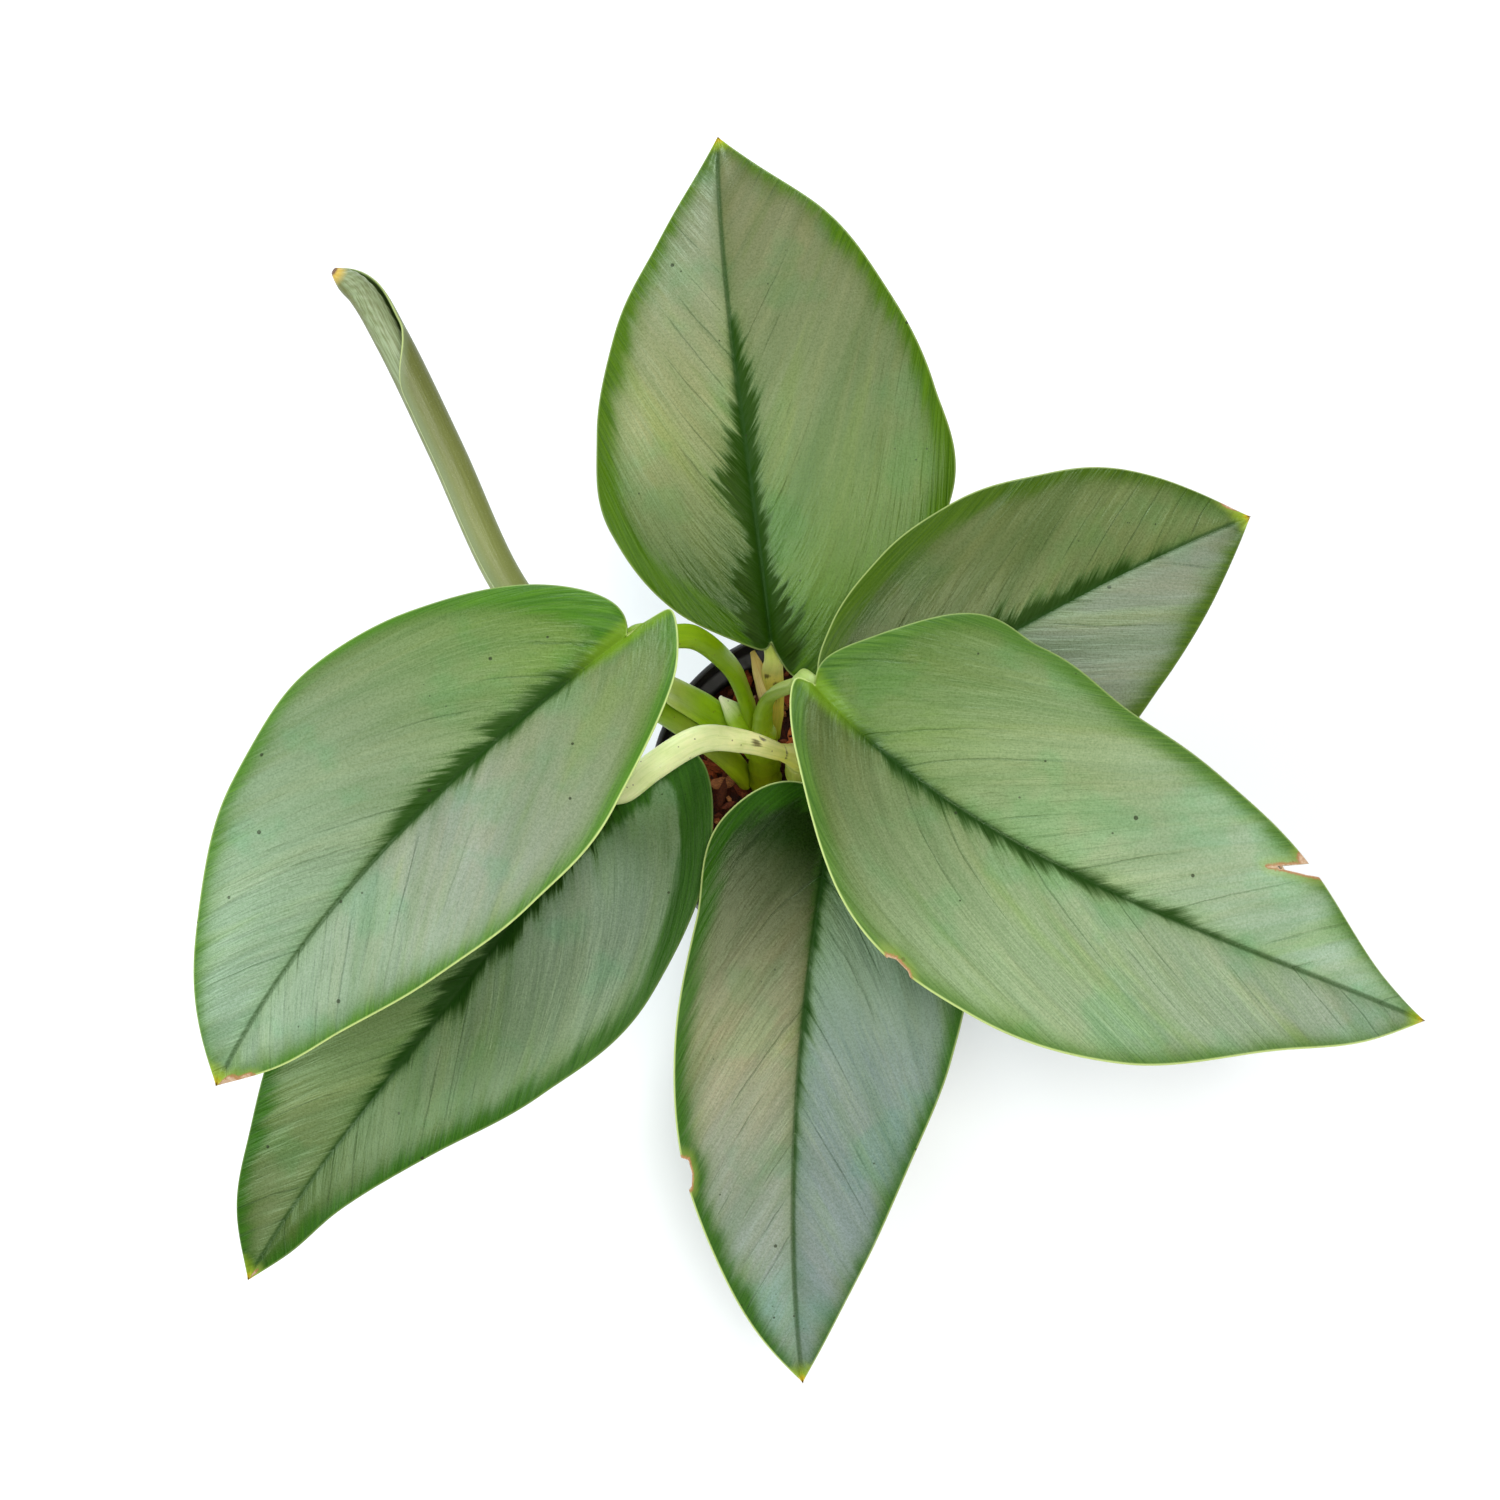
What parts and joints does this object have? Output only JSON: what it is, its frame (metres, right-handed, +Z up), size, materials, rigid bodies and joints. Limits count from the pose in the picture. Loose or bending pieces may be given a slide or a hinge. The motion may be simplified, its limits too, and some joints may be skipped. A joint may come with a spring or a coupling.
{
  "type": "potted moonlight scindapsus",
  "caption": "Young trailing aroid in a round nursery pot: broad pointed silvery leaves on arched stalks, with the newest leaf still rolled.",
  "frame": {"origin": "centre of the pot's flat foot, on the surface that the pot stands on", "axes": "+Z up; +Y towards the back leaf's tip; +X towards the right leaf, as the viewer at -Y sees it"},
  "size_m": [0.2653, 0.2932, 0.1875],
  "materials": {
    "pot": "thin black moulded plastic, low sheen",
    "soil": "dark potting mix of peat and bark with a few white grains",
    "leaf": "silvery grey-green leaf with a green midrib and margins, satin",
    "stalk": "smooth yellow-green plant stalk, satin",
    "dry_sheath": "dry tan sheath, matte"
  },
  "bodies": {
    "root": {"pot": "pot", "soil": "soil", "stem_left": "stalk", "stem_right": "stalk", "petiole_back": "stalk", "petiole_back_right": "stalk", "petiole_right": "stalk", "petiole_front": "stalk", "petiole_left": "stalk", "petiole_front_left": "stalk", "petiole_rolled": "stalk", "sheath_green": "stalk", "sheath_dry": "dry_sheath", "bud": "stalk", "leaf_back": "leaf", "leaf_back_right": "leaf", "leaf_right": "leaf", "leaf_front": "leaf", "leaf_left": "leaf", "leaf_front_left": "leaf", "leaf_rolled": "leaf"}
  },
  "joints": []
}
